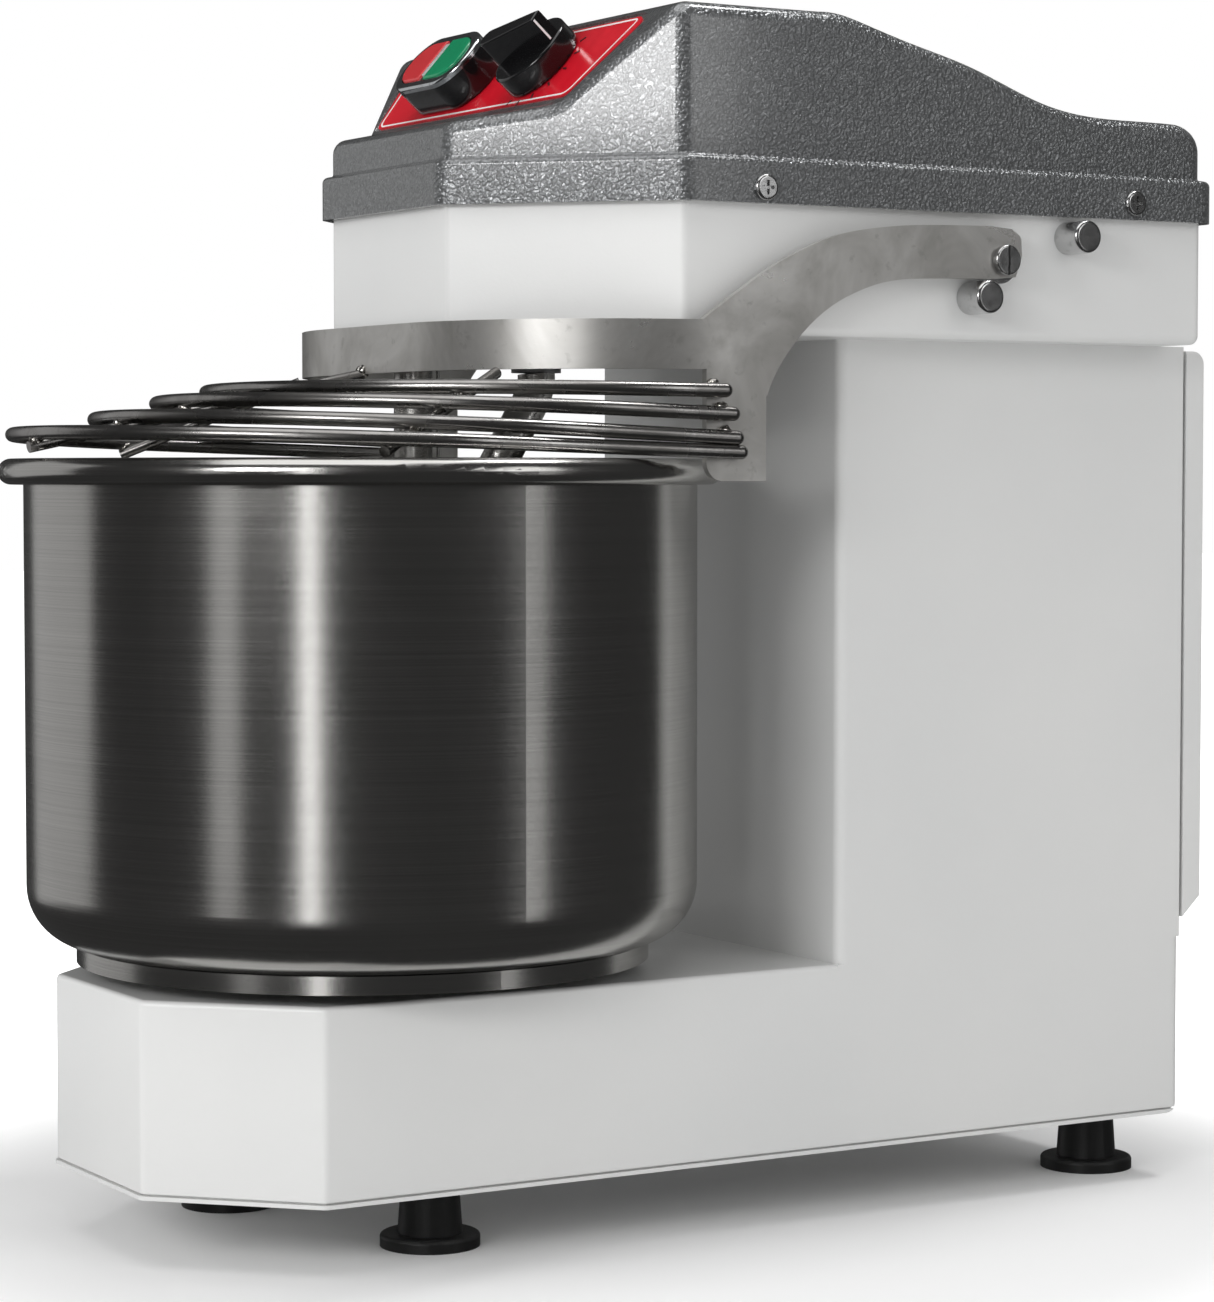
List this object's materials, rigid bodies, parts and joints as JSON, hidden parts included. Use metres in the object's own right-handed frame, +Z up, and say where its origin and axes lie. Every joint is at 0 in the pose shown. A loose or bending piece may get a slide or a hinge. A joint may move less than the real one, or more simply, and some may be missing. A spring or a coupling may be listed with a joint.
{
  "type": "table-top spiral dough mixer",
  "caption": "Table-top spiral dough mixer with a turning steel bowl, spiral hook, breaker bar, lift-up wire guard and a sloped control panel.",
  "frame": {"origin": "on the ground under the middle of the machine's outer box", "axes": "+Z up, -Y towards the front, where the bowl and the control panel are, +X to the right of someone facing +Y"},
  "size_m": [0.2814, 0.4894, 0.4719],
  "materials": {
    "body_paint": "glossy off-white powder coat",
    "cover_paint": "mid-grey hammertone enamel",
    "stainless": "fine brushed stainless",
    "guard_steel": "satin stainless with a heat-stained patina",
    "bright_steel": "bright plated steel",
    "dark_steel": "plain machined steel",
    "cast_aluminium": "cast and turned aluminium",
    "black_rubber": "matt black rubber",
    "black_plastic": "glossy black plastic",
    "matt_black_plastic": "matt black plastic",
    "bezel_chrome": "satin chromed bezel",
    "red_plastic": "red push cap",
    "green_plastic": "green push cap",
    "label_red": "glossy red panel film",
    "mark_white": "white inlay",
    "mark_dark": "dark printed ticks"
  },
  "bodies": {
    "chassis": {"base_plate": "body_paint", "base_shell": "body_paint", "column_shell": "body_paint", "head_shell": "body_paint", "top_cover": "cover_paint", "cover_screws": "bright_steel", "control_label": "label_red", "dial_ticks": "mark_dark", "button_housing": "black_plastic", "button_bezel": "bezel_chrome", "timer_body": "matt_black_plastic", "bowl_bearing_housing": "cast_aluminium", "bowl_bearings": "dark_steel", "bowl_belt": "black_rubber", "cross_bars": "cast_aluminium", "spiral_bearing_housing": "cast_aluminium", "spiral_bearings": "dark_steel", "spiral_belt": "black_rubber", "motor_body": "cast_aluminium", "motor_gearbox": "cast_aluminium", "motor_bracket": "dark_steel", "motor_belt": "black_rubber", "capacitor": "matt_black_plastic", "control_box": "matt_black_plastic", "guard_switch": "matt_black_plastic", "breaker_bar": "stainless", "breaker_bar_nut": "bright_steel", "guard_pivot_bolts": "bright_steel", "stop_pins": "bright_steel", "rear_panel": "body_paint", "rear_panel_screws": "bright_steel", "rear_panel_gasket": "black_rubber", "feet": "black_rubber", "foot_bolts": "bright_steel", "power_gland": "matt_black_plastic", "gland_nut": "matt_black_plastic"},
    "bowl": {"bowl": "stainless", "bowl_pan": "stainless", "bowl_foot_ring": "stainless", "bowl_hub": "cast_aluminium", "bowl_hub_screws": "bright_steel", "bowl_shaft": "dark_steel", "bowl_pulley": "cast_aluminium"},
    "countershaft": {"counter_shaft": "dark_steel", "counter_low_pulley": "dark_steel", "counter_motor_pulley": "cast_aluminium", "counter_spiral_pulley": "cast_aluminium"},
    "spiral": {"spiral_hook": "stainless", "spiral_shaft": "dark_steel", "spiral_pulley": "cast_aluminium"},
    "motor_output": {"motor_shaft": "dark_steel", "motor_pulley": "dark_steel"},
    "guard": {"guard_plate": "guard_steel", "guard_hoops": "guard_steel", "guard_struts": "guard_steel", "guard_welds": "guard_steel"},
    "timer_knob": {"timer_knob": "black_plastic", "knob_pointer": "mark_white"},
    "stop_button": {"stop_button": "red_plastic"},
    "start_button": {"start_button": "green_plastic"}
  },
  "joints": [
    {"name": "bowl_spin", "type": "hinge", "parent": "chassis", "child": "bowl", "pos_m": [0, -0.104, 0.2], "axis": [0, 0, 1], "continuous": true},
    {"name": "counter_spin", "type": "hinge", "parent": "chassis", "child": "countershaft", "pos_m": [0, 0.083, 0.2], "axis": [0, 0, 1], "continuous": true},
    {"name": "spiral_spin", "type": "hinge", "parent": "chassis", "child": "spiral", "pos_m": [0, -0.026, 0.35], "axis": [0, 0, 1], "continuous": true},
    {"name": "motor_spin", "type": "hinge", "parent": "chassis", "child": "motor_output", "pos_m": [0, 0.161, 0.35], "axis": [0, 0, 1], "continuous": true},
    {"name": "guard_lift", "type": "hinge", "parent": "chassis", "child": "guard", "pos_m": [0, 0.1142, 0.3779], "axis": [-1, 0, 0], "range_deg": [0, 130]},
    {"name": "timer_turn", "type": "hinge", "parent": "chassis", "child": "timer_knob", "pos_m": [0.0375, -0.04318, 0.45258], "axis": [0, -0.7513, 0.6599], "range_deg": [-280, 0]},
    {"name": "stop_press", "type": "slide", "parent": "chassis", "child": "stop_button", "axis": [0, 0.7513, -0.6599], "range_m": [0, 0.003], "stiffness_N_per_m": 600, "springref_m": -0.001},
    {"name": "start_press", "type": "slide", "parent": "chassis", "child": "start_button", "axis": [0, 0.7513, -0.6599], "range_m": [0, 0.003], "stiffness_N_per_m": 600, "springref_m": -0.001}
  ],
  "couplings": [
    {"joint": "counter_spin", "follows": "bowl_spin", "ratio": 6},
    {"joint": "spiral_spin", "follows": "bowl_spin", "ratio": 7.2},
    {"joint": "motor_spin", "follows": "bowl_spin", "ratio": 14.4}
  ]
}
